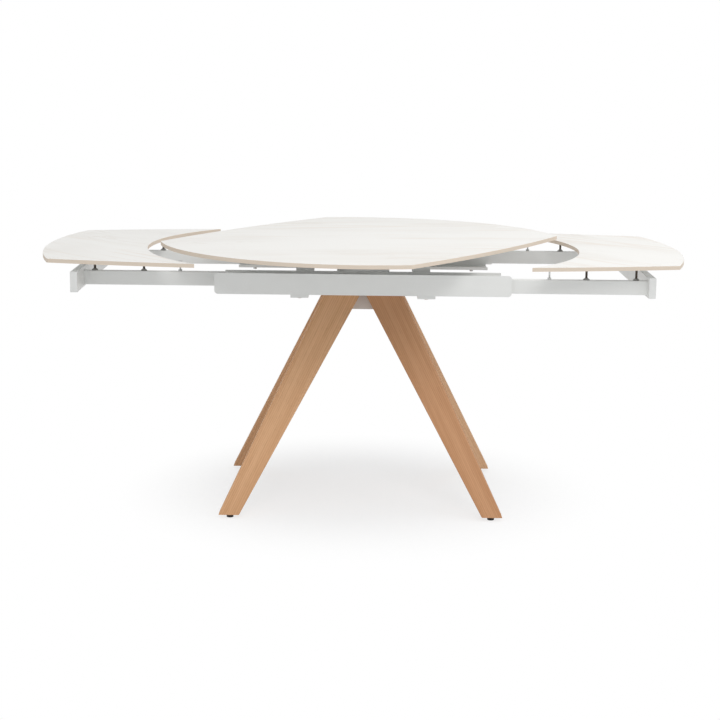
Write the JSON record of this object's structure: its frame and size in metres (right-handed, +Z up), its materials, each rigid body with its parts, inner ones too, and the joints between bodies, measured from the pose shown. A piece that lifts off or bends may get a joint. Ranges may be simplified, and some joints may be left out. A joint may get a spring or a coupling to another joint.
{
  "type": "butterfly leaf table",
  "caption": "Extending dining table with a turning centre panel with round ends, sliding end leaves on telescopic rails, and splayed oak legs.",
  "frame": {"origin": "on the floor under the middle of the table, where the panel's turning axis meets it", "axes": "+X along the table towards the right leaf, +Y away from the viewer, +Z up"},
  "size_m": [1.866, 1.1998, 0.779],
  "materials": {
    "top_board": "laminated board, pale streaked",
    "oak": "oiled oak",
    "black_rubber": "matte",
    "glide_plastic": "nylon",
    "zinc_steel": "zinc plated",
    "dark_steel": "blackened",
    "dark_frame": "black powder coat",
    "white_plastic": "moulded",
    "white_frame": "satin powder coat"
  },
  "bodies": {
    "base": {"bearer_bolts": "zinc_steel", "cross_member_bolts": "zinc_steel", "deck_bolts": "zinc_steel", "deck_plate": "white_frame", "front_bearer": "white_frame", "front_housing": "white_frame", "front_left_foot": "black_rubber", "front_left_leg": "oak", "front_left_post": "white_frame", "front_right_foot": "black_rubber", "front_right_leg": "oak", "front_right_post": "white_frame", "hub_bolts": "zinc_steel", "left_cross_member": "white_frame", "left_front_shoes": "glide_plastic", "left_rear_shoes": "glide_plastic", "leg_bolts": "zinc_steel", "leg_hub": "white_frame", "pedestal": "white_frame", "pedestal_bolts": "zinc_steel", "pedestal_bush": "glide_plastic", "rear_bearer": "white_frame", "rear_housing": "white_frame", "rear_left_foot": "black_rubber", "rear_left_leg": "oak", "rear_left_post": "white_frame", "rear_right_foot": "black_rubber", "rear_right_leg": "oak", "rear_right_post": "white_frame", "right_cross_member": "white_frame", "right_front_shoes": "glide_plastic", "right_rear_shoes": "glide_plastic", "shoe_bolts": "zinc_steel"},
    "turning_panel": {"centre_panel": "top_board", "swivel_plate": "dark_frame", "swivel_tube": "dark_frame", "lift_pin": "zinc_steel", "panel_screws": "zinc_steel"},
    "left_leaf_frame": {"left_leaf": "top_board", "left_front_rail": "white_frame", "left_rear_rail": "white_frame", "left_end_beam": "white_frame", "left_beam_plugs": "white_plastic", "left_levelling_feet": "dark_steel", "left_panel_rests": "zinc_steel"},
    "right_leaf_frame": {"right_leaf": "top_board", "right_front_rail": "white_frame", "right_rear_rail": "white_frame", "right_end_beam": "white_frame", "right_beam_plugs": "white_plastic", "right_levelling_feet": "dark_steel", "right_panel_rests": "zinc_steel"}
  },
  "joints": [
    {"name": "panel_turn", "type": "hinge", "parent": "base", "child": "turning_panel", "pos_m": [0, 0, 0.7], "axis": [0, 0, 1], "range_deg": [-57, 123]},
    {"name": "left_leaf_slide", "type": "slide", "parent": "base", "child": "left_leaf_frame", "axis": [-1, 0, 0], "range_m": [-0.373, 0]},
    {"name": "right_leaf_slide", "type": "slide", "parent": "base", "child": "right_leaf_frame", "axis": [1, 0, 0], "range_m": [-0.373, 0]}
  ]
}
